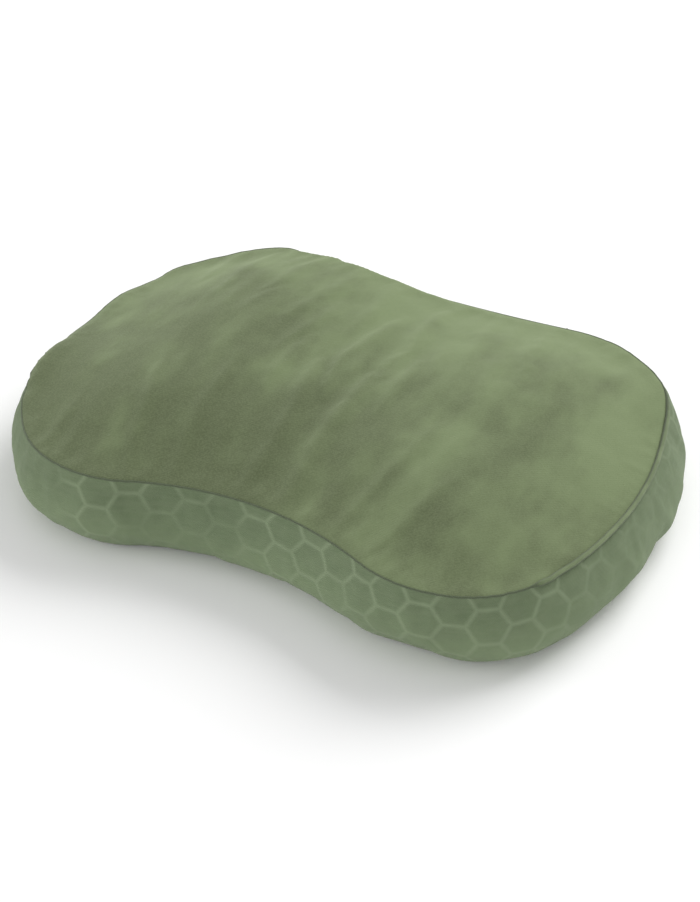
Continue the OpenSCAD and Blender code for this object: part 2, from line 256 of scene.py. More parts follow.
# How far round the outline a column faces, with 0 at the right end and -90 degrees at the front
FACING = np.degrees(np.arctan2(NORMAL[:, 1], NORMAL[:, 0]))


# ---------------------------------------------------------------- mesh helpers

def make_object(name, points, faces, smooth=True):
    mesh = bpy.data.meshes.new(name)
    mesh.from_pydata([tuple(map(float, p)) for p in points], [], [tuple(map(int, f)) for f in faces])
    mesh.update()
    obj = bpy.data.objects.new(name, mesh)
    bpy.context.scene.collection.objects.link(obj)
    if smooth:
        mesh.shade_smooth()
    return obj


def set_uv(obj, coordinates):
    """Gives each corner the fabric coordinates of its vertex, in metres."""
    layer = obj.data.uv_layers.new(name="fabric")
    corners = np.zeros(len(obj.data.loops), np.int32)
    obj.data.loops.foreach_get("vertex_index", corners)
    layer.data.foreach_set("uv", np.asarray(coordinates, np.float32)[corners].ravel())


def read_points(mesh):
    co = np.zeros(len(mesh.vertices) * 3)
    mesh.vertices.foreach_get("co", co)
    return co.reshape(-1, 3)


def unit(v):
    return v / np.maximum(np.linalg.norm(v, axis=-1, keepdims=True), 1e-12)


def capped(vectors, longest):
    """The same vectors, but none longer than that."""
    return vectors * longest / np.maximum(np.linalg.norm(vectors, axis=1, keepdims=True), longest)


def vertex_normals(points, faces):
    normals = np.zeros_like(points)
    for size in (3, 4):
        group = np.array([f for f in faces if len(f) == size])
        if len(group):
            a, b, c = points[group[:, 0]], points[group[:, 1]], points[group[:, -1]]
            n = np.cross(b - a, c - a)
            for k in range(size):
                np.add.at(normals, group[:, k], n)
    return unit(normals)


def neighbour_average(faces, count):
    """Returns a function that averages the values at each vertex's neighbours."""
    pairs = {(f[i], f[i - 1]) for f in faces for i in range(len(f))}
    pairs = np.array(sorted(pairs | {(b, a) for a, b in pairs}))
    degree = np.bincount(pairs[:, 0], minlength=count)[:, None]

    def average(values):
        total = np.zeros_like(values)
        np.add.at(total, pairs[:, 0], values[pairs[:, 1]])
        return total / np.maximum(degree, 1)

    return average


def smoothed(values, average, rounds, held=None):
    for _ in range(rounds):
        new = 0.5 * values + 0.5 * average(values)
        if held is not None:
            new[held] = values[held]
        values = new
    return values


def fill_plan(ring, spacing):
    """Triangulates the inside of a plan ring with an even field of points.
    Returns the points, whose first ones are the ring's own, and the triangles."""
    low, high = ring.min(0), ring.max(0)
    rise = spacing * math.sqrt(3) / 2
    field = [(x, low[1] + rise * (j + 0.5))
             for j in range(int((high[1] - low[1]) / rise) + 1)
             for x in np.arange(low[0] + (j % 2) * spacing / 2, high[0], spacing)]
    field = np.array(field)
    a, b = ring, np.roll(ring, -1, 0)
    spans = (a[:, 1] > field[:, 1:]) != (b[:, 1] > field[:, 1:])
    slope = (b[:, 0] - a[:, 0]) / np.where(b[:, 1] == a[:, 1], 1e-12, b[:, 1] - a[:, 1])
    crossed = spans & (field[:, :1] < a[:, 0] + slope * (field[:, 1:] - a[:, 1]))
    gap = np.sqrt(((field[:, None] - ring[None])**2).sum(2)).min(1)
    field = field[(crossed.sum(1) % 2 == 1) & (gap > 0.7 * spacing)]
    points = [Vector(p) for p in np.vstack([ring, field])]
    edges = [(i, (i + 1) % len(ring)) for i in range(len(ring))]
    out, _, faces, _, _, _ = delaunay_2d_cdt(points, edges, [], 1, 1e-7)
    return np.array([tuple(p) for p in out]), [tuple(f) for f in faces]


def cad_top_height(xy):
    """Height of the CAD top panel at plan points."""
    mesh = NODES["top_panel"].data
    tree = BVHTree.FromPolygons([v.co for v in mesh.vertices],
                                [tuple(p.vertices) for p in mesh.polygons])
    hits = [tree.ray_cast(Vector((x, y, 1)), Vector((0, 0, -1)))[0] for x, y in xy]
    return np.array([hit.z if hit else SEAM_H for hit in hits])


# ---------------------------------------------------------------- the cover's skin

def wall_inset(share):
    """How far the wall lies in from the outline at a share of its height, at each column."""
    cad = (BASE_INSET * max(0, 1 - share / FOOT_SHARE)**FOOT_POWER
           + SEAM_IN * max(0, (share - SHOULDER_SHARE) / (1 - SHOULDER_SHARE))**2)
    recess = ZIP_RECESS * min(1, share / FOOT_SHARE, (1 - share) / (1 - SHOULDER_SHARE))
    soft = (BASE_INSET * max(0, 1 - share / SOFT_FOOT)**2
            + SEAM_IN * max(0, (share - SOFT_FOOT) / SOFT_HEAD)**2
            - BULGE * math.sin(math.pi * share)**2)
    return cad * HOLD + soft * (1 - HOLD) + recess * RECESS


class Skin:
    """One closed mesh of the whole cover: the wall's grid, the top and the base share seam rings."""

    def __init__(self):
        shares = [h / ROW_HEIGHTS[-1] for h in ROW_HEIGHTS]
        wall = np.array([np.c_[XY - NORMAL * wall_inset(t)[:, None], t * SEAM_Z] for t in shares])
        rows = len(wall)
        self.wall = np.arange(rows * COLUMNS).reshape(rows, COLUMNS)
        step = np.roll(self.wall, -1, 1)
        self.wall_faces = [f for r in range(rows - 1)
                           for f in zip(self.wall[r], step[r], step[r + 1], self.wall[r + 1])]
        top_xy, top_faces = fill_plan(wall[-1][:, :2], TOP_STEP)
        base_xy, base_faces = fill_plan(wall[0][:, :2], BASE_STEP)
        top_inner = np.c_[top_xy[COLUMNS:], cad_top_height(top_xy[COLUMNS:])]
        base_inner = np.c_[base_xy[COLUMNS:], np.full(len(base_xy) - COLUMNS, BASE_Z)]
        self.points = np.vstack([wall.reshape(-1, 3), top_inner, base_inner])
        start = self.wall.size
        self.top = np.r_[self.wall[-1], start + np.arange(len(top_inner))]
        start += len(top_inner)
        self.base = np.r_[self.wall[0], start + np.arange(len(base_inner))]
        self.top_faces = [tuple(self.top[list(f)]) for f in top_faces]
        self.base_faces = [tuple(self.base[list(f[::-1])]) for f in base_faces]
        self.faces = self.wall_faces + self.top_faces + self.base_faces
        self.average = neighbour_average(self.faces, len(self.points))
        flexible = np.zeros(len(self.points), bool)
        flexible[self.top[COLUMNS:]] = True
        self.points[:, 2:] = smoothed(self.points[:, 2:], self.average, CROWN_ROUNDS, ~flexible)
        on_top = np.zeros((len(self.points), 1))
        on_top[self.top[COLUMNS:]] = 1
        self.on_top = smoothed(on_top, self.average, SEAM_ROUNDS)
        self.hold = np.zeros(len(self.points))
        self.hold[self.wall] = HOLD
        self.hold[self.base] = 1

    def inflate(self):
        """Blows the cover up as cloth, and keeps a part of its swelling and of its folds."""
        cloth = make_object("cover_cloth", self.points, self.faces)
        weights = self.hold.copy()
        weights[self.wall[-1]] = np.maximum(weights[self.wall[-1]], SEAM_HOLD)
        group = cloth.vertex_groups.new(name="hold")
        for i, w in enumerate(weights):
            group.add([i], float(w), "REPLACE")
        modifier = cloth.modifiers.new("cloth", "CLOTH")
        for name, value in CLOTH.items():
            setattr(modifier.settings, name, value)
        modifier.settings.effector_weights.gravity = CLOTH_GRAVITY
        scene = bpy.context.scene
        for timed in (scene, modifier.point_cache):
            timed.frame_start = 1
            timed.frame_end = CLOTH_FRAMES
        for number in range(1, CLOTH_FRAMES + 1):
            scene.frame_set(number)
        result = cloth.evaluated_get(bpy.context.evaluated_depsgraph_get())
        blown = read_points(result.to_mesh())
        result.to_mesh_clear()
        bpy.data.objects.remove(cloth)
        scene.frame_set(1)
        moved = blown - self.points
        swell = smoothed(moved, self.average, SWELL_SMOOTHING)
        folds = moved - swell
        swell_share = SWELL_SHARE_WALL + (SWELL_SHARE_TOP - SWELL_SHARE_WALL) * self.on_top
        fold_share = FOLD_SHARE_WALL + (FOLD_SHARE_TOP - FOLD_SHARE_WALL) * self.on_top
        self.points += (1 - self.hold)[:, None] * (swell_share * capped(swell, SWELL_CAP)
                                                   + fold_share * capped(folds, FOLD_CAP))

    def sculpt(self):
        """Adds the swellings and hollows of this one pillow, and the lumps of its loose filling."""
        free = (1 - self.hold)[:, None]
        off_zip = np.ones((len(self.points), 1))
        off_zip[self.wall] = 1 - HOLD[:, None]
        high = smooth_step(self.points[:, 2:], 0, SEAM_H)
        parts = {"top": self.on_top, "high": high, "low": 1 - high}
        plan = self.points[:, :2].copy()
        for x, y, reach, push, part in SWELLINGS:
            near = ((plan - np.array([x, y]) * MM)**2).sum(1, keepdims=True) / (reach * MM)**2
            self.points += np.exp(-near) * parts[part] * off_zip * np.array(push) * MM
        normals = vertex_normals(self.points, self.faces)
        for size, depth in LUMPS:
            bump = np.array([noise.noise(Vector(p) / (size * MM)) for p in self.points])
            self.points += free * normals * bump[:, None] * depth * MM
        self.points[:, 2] = np.maximum(self.points[:, 2], BASE_LOW)


# ---------------------------------------------------------------- sewn panels

def rolled_edge(ring, inward, normal):
    """Rings that carry a panel's edge over and down into its seam, from the panel's face outwards."""
    middle = ring + (inward - normal) * ROLL_R
    angles = np.linspace(0, math.pi / 2, ROLL_STEPS + 1)
    return np.array([middle + ROLL_R * (normal * math.cos(a) - inward * math.sin(a)) for a in angles])


def ring_tangent(ring):
    return unit(np.roll(ring, -1, 0) - np.roll(ring, 1, 0))


def strip(lower, upper):
    """Quads between two closed rings of vertex numbers."""
    return list(zip(lower, np.roll(lower, -1), np.roll(upper, -1), upper))


def grid_faces(grid, skip=None):
    return [(grid[r, c], grid[r, c + 1], grid[r + 1, c + 1], grid[r + 1, c])
            for r in range(grid.shape[0] - 1) for c in range(grid.shape[1] - 1)
            if skip is None or not skip(r, c)]


def fabric_panel(name, points, faces, uv, thickness=COVER_T, levels=1):
    """A panel of fabric: the face given is its outer one, and its thickness goes inwards."""
    used = sorted({i for f in faces for i in f})
    number = {v: k for k, v in enumerate(used)}
    obj = make_object(name, points[used], [[number[i] for i in f] for f in faces])
    set_uv(obj, uv[used])
    solid = obj.modifiers.new("thickness", "SOLIDIFY")
    solid.thickness = thickness
    solid.offset = -1
    solid.edge_crease_inner = 1
    solid.edge_crease_outer = 1
    solid.edge_crease_rim = 1
    if levels:
        smooth = obj.modifiers.new("smooth", "SUBSURF")
        smooth.levels = levels
        smooth.render_levels = levels
    return obj


def disc_panel(name, points, members, faces, side):
    """The top (side 1) or the base (side -1): its ring of seam points is rolled into the seam."""
    normals = vertex_normals(points, faces)
    ring = points[members[:COLUMNS]]
    normal = normals[members[:COLUMNS]]
    inward = side * unit(np.cross(normal, ring_tangent(ring)))
    rolls = rolled_edge(ring, inward, normal)
    moved = points.copy()
    moved[members[:COLUMNS]] = rolls[0]
    start = len(points)
    rings = [members[:COLUMNS]] + [start + k * COLUMNS + np.arange(COLUMNS) for k in range(ROLL_STEPS)]
    everything = np.vstack([moved] + list(rolls[1:]))
    edge = []
    for inner, outer in zip(rings, rings[1:]):
        edge += strip(outer, inner) if side > 0 else strip(inner, outer)
    return fabric_panel(name, everything, list(faces) + edge, everything[:, :2])


class Wall:
    """The wall's rows of points, with rolled edges at both seams, and its fabric coordinates."""

    def __init__(self, skin):
        normals = vertex_normals(skin.points, skin.wall_faces)
        foot, head = skin.wall[0], skin.wall[-1]
        below = unit(np.cross(normals[foot], ring_tangent(skin.points[foot])))
        above = -unit(np.cross(normals[head], ring_tangent(skin.points[head])))
        foot_rolls = rolled_edge(skin.points[foot], below, normals[foot])
        head_rolls = rolled_edge(skin.points[head], above, normals[head])
        middle = [skin.points[row] for row in skin.wall[1:-1]]
        self.points = np.array(list(foot_rolls[::-1]) + middle + list(head_rolls))
        self.zip_row = ROLL_STEPS + ROW_HEIGHTS.index(round(ZIP_Z / MM))
        drop = np.linalg.norm(np.diff(self.points, axis=0), axis=2)
        depth = np.vstack([np.zeros(COLUMNS), np.cumsum(drop[::-1], 0)])[::-1]
        self.uv = np.dstack([np.broadcast_to(ARC, depth.shape), -depth])
        self.normals = vertex_normals(skin.points, skin.wall_faces)[skin.wall]

    def cut(self, rows, columns):
        """The points, fabric coordinates and number grid of some rows and columns."""
        grid = np.arange(len(rows) * len(columns)).reshape(len(rows), len(columns))
        points, uv = self.points[rows][:, columns], self.uv[rows][:, columns]
        return points.reshape(-1, 3), uv.reshape(-1, 2), grid


def waist_columns():
    """How many columns it is from the middle of the back waist to its end."""
    return int(np.argmin(np.abs(OUTLINE[:COLUMNS // 4, 4] - BACK.reach)))


def front_wall(wall):
    reach = waist_columns()
    columns = np.arange(reach, COLUMNS - reach + 1)
    points, uv, grid = wall.cut(np.arange(len(wall.points)), columns)
    return fabric_panel("front_wall_fabric", points, grid_faces(grid), uv)


def back_strip(wall, name, upper):
    """One strip of the back wall, with the zip's slot left open along its edge."""
    reach = waist_columns() - 1
    columns = np.arange(-reach, reach + 1) % COLUMNS
    rows = np.arange(wall.zip_row, len(wall.points)) if upper else np.arange(0, wall.zip_row + 1)
    points, uv, grid = wall.cut(rows, columns)
    edge_row = 0 if upper else len(rows) - 2
    uv = np.c_[BACK_S[columns][None].repeat(len(rows), 0).ravel(), uv[:, 1]]

    def slot(r, c):
        return r == edge_row and 1 <= c < len(columns) - 2

    return fabric_panel(name, points, grid_faces(grid, slot), uv)


def tube_faces(count, sides, closed=False, caps=True):
    """Faces between rings of points: all the way round if closed, or else with a cap at each end."""
    faces = []
    for k in range(count if closed else count - 1):
        a, b = k * sides, (k + 1) % count * sides
        faces += [(a + j, a + (j + 1) % sides, b + (j + 1) % sides, b + j) for j in range(sides)]
    if caps and not closed:
        faces.append(tuple(range(sides))[::-1])
        faces.append(tuple((count - 1) * sides + j for j in range(sides)))
    return faces


def tube_mesh(path, radii, sides, normal, closed=False):
    """Points and faces of a tube along a path. normal is across it, one for all points or one each.
    radii is one radius, one for each point, or a row of two, across and along normal."""
    path = np.asarray(path, float)
    if closed:
        ahead = np.roll(path, -1, 0) - np.roll(path, 1, 0)
    else:
        ahead = np.gradient(path, axis=0)
    ahead = unit(ahead)
    side = unit(np.cross(ahead, normal))
    up = np.cross(side, ahead)
    radii = np.asarray(radii, float)
    radii = radii.reshape(-1, 2 if radii.ndim == 2 else 1)
    across, along = radii[:, :1], radii[:, -1:]
    angles = 2 * math.pi * np.arange(sides) / sides
    points = np.array([path + side * across * math.cos(a) + up * along * math.sin(a) for a in angles])
    return points.transpose(1, 0, 2).reshape(-1, 3), tube_faces(len(path), sides, closed)


def set_unshaded_share(obj, values):
    """Says for each point how far it stands in the open, from 0 in the seam to 1 on a ridge's crown; the
    seam material paints shade where it is low.
    """
    layer = obj.data.attributes.new("crown", "FLOAT", "POINT")
    layer.data.foreach_set("value", np.asarray(values, np.float32))


def seam_bead(name, ring, normal, sunk, radii, ridge):
    """A bead of folded fabric along a closed seam."""
    sides = 10
    points, faces = tube_mesh(ring - normal * np.reshape(sunk, (-1, 1)), radii, sides, normal, True)
    obj = make_object(name, points, faces)
    # Painted shade: only the upper side of a ridge is left unshaded; the bead's other sides get painted
    # shade
    unshaded_upper_side = np.maximum(0, np.sin(2 * math.pi * np.arange(sides) / sides))
    set_unshaded_share(obj, np.outer(ridge, unshaded_upper_side).ravel())
    along = np.r_[0, np.cumsum(np.linalg.norm(np.diff(ring, axis=0), axis=1))]
    set_uv(obj, np.c_[np.repeat(along, sides), np.tile(np.arange(sides) * MM, len(ring))])
    return obj


def top_bead(skin):
    """It lies low in the seam along the front, and stands up as a ridge round the right end."""
    ring = skin.points[skin.wall[-1]]
    top = vertex_normals(skin.points, skin.top_faces)[skin.wall[-1]]
    side = vertex_normals(skin.points, skin.wall_faces)[skin.wall[-1]]
    normal = unit(top + side)
    ridge = smooth_step(FACING, *RIDGE_RISE) * (1 - smooth_step(FACING, *RIDGE_FALL))
    sunk = BEAD_SUNK * (1 - ridge) - RIDGE_PROUD * ridge
    radii = BEAD_R * (1 - ridge) + RIDGE_R * ridge
    return seam_bead("top_seam_bead", ring, normal, sunk, radii, ridge)


def base_bead(skin):
    ring = skin.points[skin.wall[0]]
    normal = unit(vertex_normals(skin.points, skin.wall_faces)[skin.wall[0]] + [0, 0, -0.3])
    # With no ridge, the whole base bead gets painted shade
    return seam_bead("base_seam_bead", ring + [0, 0, BASE_BEAD_LIFT], normal,
                     BASE_BEAD_SUNK, BASE_BEAD_R, np.zeros(COLUMNS))


def side_bead(wall, name, side):
    """The upright seam between the front wall and the back wall's strips."""
    sides = 8
    reach = waist_columns()
    pair = [reach - 1, reach] if side < 0 else [COLUMNS - reach, COLUMNS - reach + 1]
    path = wall.points[2:-2][:, pair].mean(1)
    normal = wall.normals[5][pair].mean(0)
    points, faces = tube_mesh(path - normal * SIDE_BEAD_SUNK, SIDE_BEAD_R, sides, normal)
    # It has no crown attribute, so the whole bead gets the seam material's painted shade
    obj = make_object(name, points, faces)
    set_uv(obj, np.c_[points[:, 2], np.tile(np.arange(sides) * MM, len(path))])
    return obj


# ---------------------------------------------------------------- inner bag and filling

def inner_layers(skin):
    """The inner bag's three panels and the filling, a little inside the cover all over."""
    normals = vertex_normals(skin.points, skin.faces)
    normals = unit(smoothed(normals, skin.average, 2))
    bag = skin.points - normals * BAG_IN
    bag[:, 2] = np.maximum(bag[:, 2], BAG_LOW)
    pieces = {}
    for name, faces in (("inner_bag_top", skin.top_faces), ("inner_bag_band", skin.wall_faces),
                        ("inner_bag_base", skin.base_faces)):
        uv = bag[:, :2] if "band" not in name else np.c_[np.hypot(bag[:, 0], bag[:, 1]), bag[:, 2]]
        pieces[name] = fabric_panel(name + "_fabric", bag, faces, uv, BAG_T, 0)
    lumps = np.array([noise.cell(Vector(p) / CRUMB_STEP) + noise.noise(Vector(p) / CRUMB_WAVE)
                      for p in skin.points])
    fill = skin.points - normals * (FILL_IN + CRUMB_IN + CRUMB_DEPTH * lumps[:, None])
    fill[:, 2] = np.maximum(fill[:, 2], FILL_LOW)
    pieces["foam_fill"] = make_object("foam_fill_crumbs", fill, skin.faces)
    set_uv(pieces["foam_fill"], fill[:, :2])
    return pieces


# ---------------------------------------------------------------- zip

# Depths outwards from the back wall's outer face, and half widths, as in the design
TAPE_FACE = -0.9 * MM
TAPE_T = 0.5 * MM
TAPE_GAP = 1.4 * MM
TAPE_REACH = 11 * MM
TAPE_CLOSING = (81 * MM, 82.8 * MM)
TAPE_END_GAP = 0.02 * MM
COIL_T = 1.8 * MM
COIL_OUT = TAPE_FACE + 0.05 * MM + COIL_T
COIL_PITCH = 1.3 * MM
COIL_MIDDLE = 0.82 * MM
COIL_HALF_W = 1.42 * MM
WIRE_R = 0.24 * MM
PLATE_T = 1 * MM
PLATE_GAP = 0.3 * MM
OUTER_PLATE = COIL_OUT + PLATE_GAP
INNER_PLATE = TAPE_FACE - TAPE_T - PLATE_GAP
PIN_OUT = OUTER_PLATE + PLATE_T + 0.75 * MM
PIN_R = 0.45 * MM
PULL_HALF_T = 0.45 * MM
STOP_L = 2.4 * MM
STOP_REACH = 2.6 * MM
STOP_START = 1.5 * MM
STITCH_PITCH = 3.4 * MM
STITCH_L = 2.7 * MM
STITCH_R = 0.23 * MM
STITCH_ROOM = 1.5 * MM
STITCH_PROUD = 0.26 * MM
STITCH_DIP = 0.46 * MM
STITCH_SLANT = 0.08 * MM
OUTWARDS = (0.0, 1.0, 0.0)

# Places along the chain, from its middle
END_ROOM = 1.2 * MM
SLIDER_HALF_L = 5 * MM
TOP_STOP_S = SLOT_REACH - END_ROOM - STOP_L / 2
SLIDER_S = TOP_STOP_S - STOP_L / 2 - SLIDER_HALF_L - END_ROOM
COIL_START = -TOP_STOP_S + STOP_L / 2 + 0.3 * MM
COIL_END = SLIDER_S + 2.6 * MM


def half_of(side):
    """The name of the zip's half above (1) or below (-1) the chain's middle line."""
    return "upper" if side > 0 else "lower"


def on_chain(points, s=0.0):
    """Takes points given as along the chain, outwards and up into the frame. s is added along it."""
    points = np.asarray(points, float)
    angle = (points[..., 0] + s) / BACK.radius
    radius = CHAIN_R - points[..., 1]
    return np.stack([radius * np.sin(angle), BACK_CENTRE_Y - radius * np.cos(angle),
                     ZIP_Z + points[..., 2]], -1)


def zip_tape(side):
    """A woven tape, thicker near both edges. Past the chain's ends it closes up with its partner."""
    steps = 220
    along = np.linspace(-SLOT_REACH - 3 * MM, SLOT_REACH + 3 * MM, steps)
    back, face, outer = TAPE_FACE - TAPE_T, TAPE_FACE, TAPE_REACH
    soft, corner = 0.1 * MM, 0.3 * MM
    sections = []
    for s in along:
        inner = TAPE_GAP * (1 - smooth_step(abs(s), *TAPE_CLOSING)) + TAPE_END_GAP
        sections.append([(s, out, side * up) for out, up in (
            (back, inner), (back, outer), (face - soft, outer), (face, outer - corner),
            (face - 0.6 * soft, (inner + outer) / 2), (face, inner + corner), (face - soft, inner))])
    points = np.array(sections)
    faces = tube_faces(steps, points.shape[1])
    if side < 0:
        faces = [f[::-1] for f in faces]
    obj = make_object(f"zip_tape_{half_of(side)}_woven", on_chain(points).reshape(-1, 3), faces, False)
    set_uv(obj, points[..., [0, 2]].reshape(-1, 2))
    return obj


def zip_coil(side):
    """Half of the chain: a helix of stiff thread, pressed flat, that hooks between its partner's turns."""
    turns = int((COIL_END - COIL_START) / COIL_PITCH)
    per_turn = 14
    angle = np.linspace(0, 2 * math.pi * turns, turns * per_turn + 1)
    phase = 0 if side > 0 else math.pi
    half_out = COIL_T / 2 - WIRE_R
    half_up = COIL_HALF_W - WIRE_R
    path = np.c_[COIL_START + COIL_PITCH * (angle + phase) / (2 * math.pi),
                 COIL_OUT - COIL_T / 2 + half_out * np.sin(angle),
                 side * (COIL_MIDDLE - half_up * np.cos(angle))]
    points, faces = tube_mesh(on_chain(path), WIRE_R, 6, (0.0, 1.0, 0.03))
    return make_object(f"zip_coil_{half_of(side)}_helix", points, faces)


def rounded_block(low, high, round_r):
    """A block with rounded edges, as points and faces, in the chain's own directions."""
    low, high = np.array(low), np.array(high)
    middle, half = (low + high) / 2, (high - low) / 2
    lats, longs = 12, 24
    points = []
    for i in range(lats + 1):
        phi = -math.pi / 2 + math.pi * i / lats
        for j in range(longs):
            theta = 2 * math.pi * (j + 0.5) / longs
            d = np.array([math.cos(phi) * math.cos(theta), math.cos(phi) * math.sin(theta), math.sin(phi)])
            points.append(middle + np.sign(np.round(d, 9)) * (half - round_r) + d * round_r)
    return np.array(points), tube_faces(lats + 1, longs, caps=False)


def merge(parts):
    points, faces, start = [], [], 0
    for p, f in parts:
        points.append(np.asarray(p))
        faces += [tuple(int(i) + start for i in face) for face in f]
        start += len(p)
    return np.vstack(points), faces


def chain_object(name, parts, s):
    points, faces = merge(parts)
    return make_object(name, on_chain(points, s), faces)


def flat_plate(outline, low, high, bevel, hole=None):
    """A plate with softened edges, cut to an outline of (along, up) points, between two depths."""
    curve = bpy.data.curves.new("plate", "CURVE")
    curve.dimensions = "2D"
    curve.fill_mode = "BOTH"
    curve.extrude = (high - low) / 2 - bevel
    curve.bevel_depth = bevel
    curve.bevel_resolution = 2
    curve.offset = -bevel
    for ring in [outline] + ([hole] if hole else []):
        spline = curve.splines.new("POLY")
        spline.points.add(len(ring) - 1)
        for point, (x, z) in zip(spline.points, ring):
            point.co = (x, z, 0, 1)
        spline.use_cyclic_u = True
    obj = bpy.data.objects.new("plate", curve)
    bpy.context.scene.collection.objects.link(obj)
    mesh = bpy.data.meshes.new_from_object(obj.evaluated_get(bpy.context.evaluated_depsgraph_get()))
    co = read_points(mesh)
    points = np.c_[co[:, 0], (low + high) / 2 + co[:, 2], co[:, 1]]
    faces = [tuple(p.vertices)[::-1] for p in mesh.polygons]
    bpy.data.objects.remove(obj)
    return points, faces


def soft_outline(corners, steps=5):
    """Rounds a closed outline, given in mm, by quadratic curves between the middles of its edges."""
    corners = np.array(corners, float) * MM
    out = []
    for i in range(len(corners)):
        a = (corners[i - 1] + corners[i]) / 2
        b = (corners[i] + corners[(i + 1) % len(corners)]) / 2
        for k in range(steps):
            t = k / steps
            out.append(tuple((1 - t)**2 * a + 2 * t * (1 - t) * corners[i] + t * t * b))
    return out


def zip_slider():
    shield = [(-4.9, 0), (-4.9, -2.6), (-3.2, -3.2), (0, -3.3), (2.4, -3.9), (4.4, -4.0), (5, -2.2),
              (4.4, 0), (5, 2.2), (4.4, 4.0), (2.4, 3.9), (0, 3.3), (-3.2, 3.2), (-4.9, 2.6)]
    outline = soft_outline(shield)
    inner = [(x, z * 0.9) for x, z in outline]
    parts = [flat_plate(outline, OUTER_PLATE, OUTER_PLATE + PLATE_T, 0.25 * MM),
             flat_plate(inner, INNER_PLATE - PLATE_T, INNER_PLATE, 0.2 * MM)]
    for side in (-1, 1):
        low, high = sorted((side * 2.55 * MM, side * 3.25 * MM))
        parts.append(rounded_block((-4 * MM, TAPE_FACE + 0.3 * MM, low),
                                   (3.4 * MM, OUTER_PLATE + 0.4 * MM, high), 0.25 * MM))
    parts.append(rounded_block((3 * MM, INNER_PLATE - 0.3 * MM, -1 * MM),
                               (4.6 * MM, OUTER_PLATE + 0.3 * MM, 1 * MM), 0.4 * MM))
    arch = [(-3.1, 0.4), (-3.0, 1.2), (-2.5, 2.2), (-1.6, 2.65), (0, 2.75), (1.6, 2.65), (2.5, 2.2),
            (3.0, 1.2), (3.1, 0.4)]
    path = np.array([(x * MM, OUTER_PLATE + y * MM, 0) for x, y in arch])
    parts.append(tube_mesh(path, [[0.9 * MM, 0.32 * MM]], 12, (0.001, 1.0, 0.0)))
    return chain_object("zip_slider_body", parts, SLIDER_S)


def zip_pull():
    """The pull lies along the chain: a pin under the bridge, two arms and a ribbed tab."""
    tab = [(0.5, 0), (0.5, -2.1), (-3, -2.2), (-6, -2.7), (-14, -2.4), (-21, -2.6), (-24, -2.2), (-24.3, 0),
           (-24, 2.2), (-21, 2.6), (-14, 2.4), (-6, 2.7), (-3, 2.2), (0.5, 2.1)]
    eye = [(0.2, 0), (0.2, -1.35), (-2.5, -1.35), (-4.1, -1.2), (-4.3, 0), (-4.1, 1.2), (-2.5, 1.35),
           (0.2, 1.35)]
    grip = [(-16, 0), (-16.6, -1.2), (-20, -1.3), (-21.4, 0), (-20, 1.3), (-16.6, 1.2)]
    half_pin = 1.7
    pin = [(0, PIN_OUT, z * MM) for z in np.linspace(-half_pin, half_pin, 8)]
    parts = [flat_plate(soft_outline(tab), PIN_OUT - PULL_HALF_T, PIN_OUT + PULL_HALF_T, 0.2 * MM,
                        soft_outline(eye)),
             flat_plate(soft_outline(grip), PIN_OUT + 0.3 * MM, PIN_OUT + 0.62 * MM, 0.12 * MM),
             tube_mesh(pin, PIN_R, 12, OUTWARDS)]
    return chain_object("zip_pull_tab", parts, SLIDER_S)


def zip_stop(name, s, low_up, high_up):
    low = (-STOP_L / 2, COIL_OUT - COIL_T, low_up)
    high = (STOP_L / 2, COIL_OUT, high_up)
    return chain_object(name, [rounded_block(low, high, 0.45 * MM)], s)


def zip_stitching(side):
    """A row of lockstitches: each dips into the fabric at both ends."""
    count = int(2 * SLOT_REACH / STITCH_PITCH)
    up = side * (SLOT_HALF_W + STITCH_ROOM)
    reach = np.linspace(-1, 1, 7)
    radii = STITCH_R * (1 - 0.35 * reach**4)
    parts = []
    for i in range(count):
        s = (i - (count - 1) / 2) * STITCH_PITCH
        path = np.c_[s + reach * STITCH_L / 2, STITCH_PROUD - STITCH_DIP * reach**4,
                     up + STITCH_SLANT * reach]
        parts.append(tube_mesh(path, radii, 6, OUTWARDS))
    return chain_object(f"zip_stitching_{half_of(side)}_thread", parts, 0)


def care_label(strip):
    """A blank ribbon, caught in the left side seam and lying on the upper strip."""
    low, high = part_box("care_label")
    tree = BVHTree.FromObject(strip, bpy.context.evaluated_depsgraph_get())
    across, up = 16, 12
    # Each ray starts this far inside the wall
    inside = 50 * MM
    points, uv = [], []
    for j in range(up + 1):
        z = low.z + (high.z - low.z) * j / up
        for i in range(across + 1):
            share = i / across
            s = -STRIP_REACH + LABEL_CAUGHT + LABEL_L * share
            away = Vector((math.sin(s / BACK.radius), -math.cos(s / BACK.radius), 0))
            start = Vector((0, BACK_CENTRE_Y, z)) + away * (BACK.radius - inside)
            hit, normal, _, _ = tree.ray_cast(start, away)
            lift = LABEL_LIFT + LABEL_CURL * share**2 + LABEL_WAVE * math.sin(8 * share + 3 * j / up)
            points.append(hit + normal * lift)
            uv.append((s, z))
    grid = np.arange(len(points)).reshape(up + 1, across + 1)
    return fabric_panel("care_label_ribbon", np.array(points), grid_faces(grid.T), np.array(uv), LABEL_T)


# ---------------------------------------------------------------- materials

# Linear colours
# TOP_DARK to TOP_LIGHT spans the top's random mottle and its painted light slope
TOP_DARK = (0.082, 0.101, 0.049)
TOP_LIGHT = (0.156, 0.200, 0.098)
TOP_GRAIN = (0.195, 0.240, 0.128)
TOP_PILL = (0.24, 0.27, 0.17)
# WALL_DARK to WALL_LIGHT spans the wall's random tone and its painted light by height
WALL_DARK = (0.114, 0.153, 0.084)
WALL_LIGHT = (0.196, 0.256, 0.143)
WALL_LINE = (0.230, 0.290, 0.174)
WALL_THREAD = (0.180, 0.218, 0.135)
